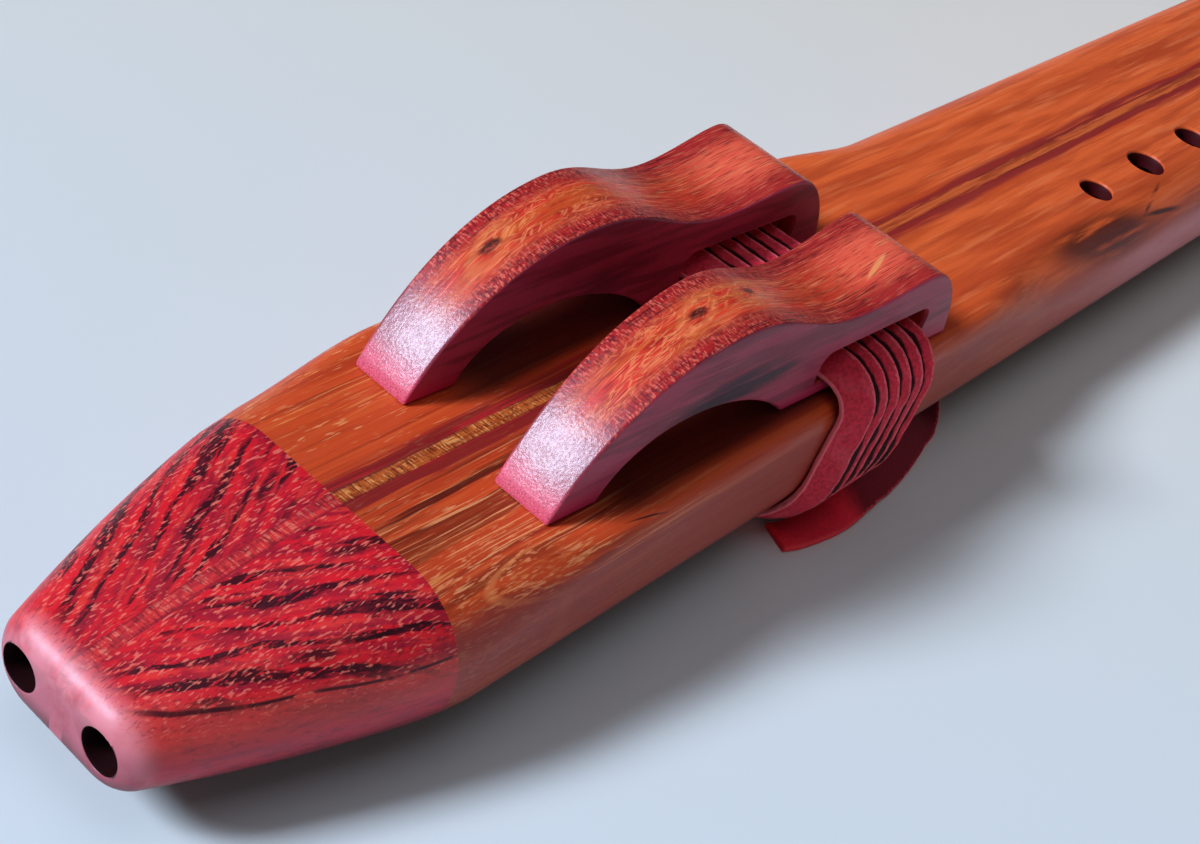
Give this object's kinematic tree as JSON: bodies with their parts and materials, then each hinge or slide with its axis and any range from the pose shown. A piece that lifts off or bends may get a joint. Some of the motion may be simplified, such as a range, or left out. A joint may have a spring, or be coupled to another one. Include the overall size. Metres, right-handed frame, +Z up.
{
  "type": "double flute",
  "caption": "Double wooden flute: a melody bore with finger holes beside a drone bore, red mouth caps, and carved birds that a leather lace ties over the flues.",
  "frame": {"origin": "middle of the flute's length and width, at the lowest line of the lace that it lies on", "axes": "+X from the mouth end to the foot, +Y from the melody bore to the drone bore, +Z up through the birds"},
  "size_m": [0.508, 0.0795, 0.064],
  "materials": {
    "orange_hardwood": "oiled satin",
    "red_hardwood": "oiled satin",
    "orange_strip": "oiled satin",
    "red_strip": "oiled satin",
    "plug_wood": "bare",
    "crimson_suede": "suede"
  },
  "bodies": {
    "flute": {"drone_body": "orange_hardwood", "melody_body": "orange_hardwood", "drone_mouth_cap": "red_hardwood", "melody_mouth_cap": "red_hardwood", "body_strip": "orange_strip", "cap_strip": "red_strip", "drone_bore_plug": "plug_wood", "melody_bore_plug": "plug_wood", "lacing_wraps": "crimson_suede", "lacing_tail": "crimson_suede"},
    "drone_bird": {"drone_bird": "red_hardwood"},
    "melody_bird": {"melody_bird": "red_hardwood"}
  },
  "joints": [
    {"name": "drone_bird_slide", "type": "slide", "parent": "flute", "child": "drone_bird", "axis": [1, 0, 0], "range_m": [-0.0025, 0.001]},
    {"name": "melody_bird_slide", "type": "slide", "parent": "flute", "child": "melody_bird", "axis": [1, 0, 0], "range_m": [-0.0025, 0.001]}
  ]
}
